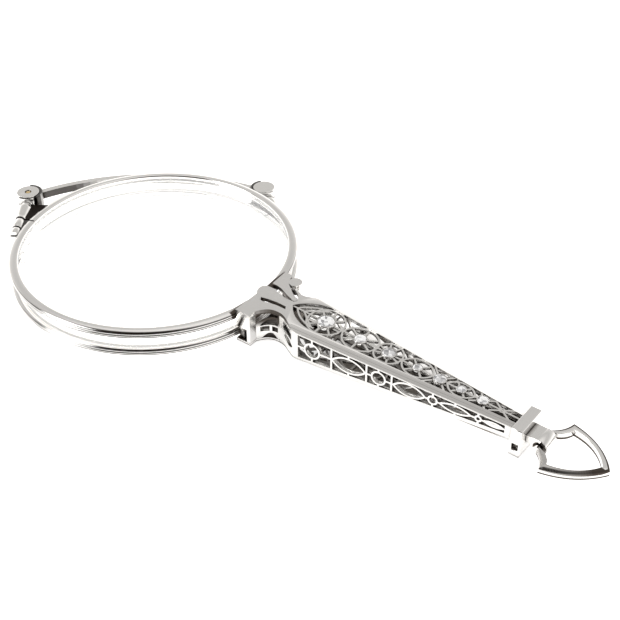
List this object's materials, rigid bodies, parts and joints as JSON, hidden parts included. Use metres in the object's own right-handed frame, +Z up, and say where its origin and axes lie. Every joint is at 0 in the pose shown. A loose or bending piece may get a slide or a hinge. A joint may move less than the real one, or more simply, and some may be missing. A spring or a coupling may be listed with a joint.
{
  "type": "folding lorgnette",
  "caption": "Hand-held folding eyeglasses: two round lenses on a sprung bridge fold together over a tapering pierced handle with a ribbon loop.",
  "frame": {"origin": "middle of the fork's flat underside, which lies on the table", "axes": "+X along the handle away from the lenses, +Z up through the lenses"},
  "size_m": [0.0983, 0.0472, 0.0053],
  "materials": {
    "white_metal": "polished white precious metal",
    "lens_glass": "clear polished",
    "clear_stone": "faceted, clear",
    "brass": "bright",
    "spring_steel": "drawn wire"
  },
  "bodies": {
    "root": {"fixed_rim": "white_metal", "fixed_lens": "lens_glass", "fixed_hinge_bracket": "white_metal", "fixed_screw_barrel": "white_metal", "fixed_rim_screw": "white_metal", "fixed_hinge_pin": "brass", "handle_top_frame": "white_metal", "fork_block": "white_metal", "fork_gallery": "white_metal", "neck_post": "white_metal", "lever_pin": "brass", "fork_base": "white_metal", "handle_base": "white_metal", "side_panel_near": "white_metal", "side_panel_far": "white_metal", "top_filigree": "white_metal", "stone_collets": "white_metal", "stones": "clear_stone", "end_block": "white_metal", "bail_lug": "white_metal"},
    "bridge": {"bridge": "white_metal", "fixed_hinge_spring": "spring_steel", "folding_hinge_spring": "spring_steel"},
    "folding_lens_half": {"folding_rim": "white_metal", "folding_lens": "lens_glass", "folding_hinge_bracket": "white_metal", "folding_screw_barrel": "white_metal", "folding_rim_screw": "white_metal", "folding_hinge_pin": "brass", "catch_lug": "white_metal"},
    "catch": {"catch_lever": "white_metal", "release_button": "white_metal"},
    "bail": {"bail": "white_metal"}
  },
  "joints": [
    {"name": "bridge_fold", "type": "hinge", "parent": "root", "child": "bridge", "pos_m": [-0.04722, -0.00199, 0.0041], "axis": [0, 0, 1], "range_deg": [0, 80]},
    {"name": "lens_fold", "type": "hinge", "parent": "bridge", "child": "folding_lens_half", "pos_m": [-0.02224, 0.0248, 0.00122], "axis": [0, 0, 1], "range_deg": [0, 80]},
    {"name": "catch_release", "type": "hinge", "parent": "root", "child": "catch", "pos_m": [0.00242, 0.00112, 0.0049], "axis": [0, 0, 1], "range_deg": [0, 4], "stiffness_Nm_per_rad": 0.02},
    {"name": "bail_swing", "type": "hinge", "parent": "root", "child": "bail", "pos_m": [0.04085, 0, 0.0019], "axis": [0, 1, 0], "range_deg": [-95, 95]}
  ],
  "couplings": [
    {"joint": "lens_fold", "follows": "bridge_fold", "ratio": 1}
  ]
}
